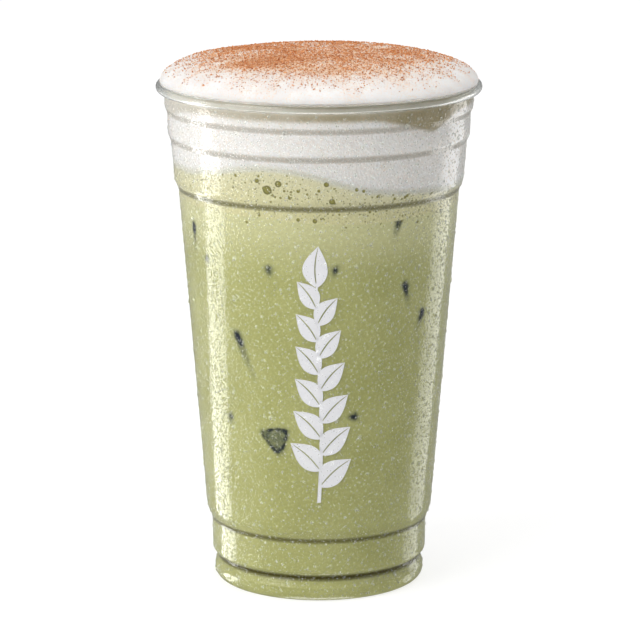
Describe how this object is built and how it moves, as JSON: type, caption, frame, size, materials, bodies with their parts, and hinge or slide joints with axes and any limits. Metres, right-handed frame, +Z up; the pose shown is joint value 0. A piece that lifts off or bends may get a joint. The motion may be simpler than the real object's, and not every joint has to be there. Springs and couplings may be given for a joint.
{
  "type": "iced matcha latte",
  "caption": "Iced matcha latte in a clear tapered plastic cup, with a bubbly froth band and milk foam domed over the rim, dusted with cinnamon.",
  "frame": {"origin": "centre of the cup's foot, on the table", "axes": "+Z up along the cup's axis; -Y is the front, which carries the print; +X is to the right of the front view"},
  "size_m": [0.098, 0.098, 0.1628],
  "materials": {
    "clear_plastic": "clear, glossy, wet with condensation",
    "matcha": "opaque milky green drink",
    "froth": "pale green froth with small bubbles",
    "foam": "smooth off-white milk foam",
    "cinnamon": "dry ground spice",
    "ice": "wet ice showing dark through milk",
    "water": "clear water beads",
    "print": "opaque white ink"
  },
  "bodies": {
    "root": {"cup": "clear_plastic", "matcha_drink": "matcha", "matcha_froth": "froth", "milk_foam": "foam"}
  },
  "joints": []
}
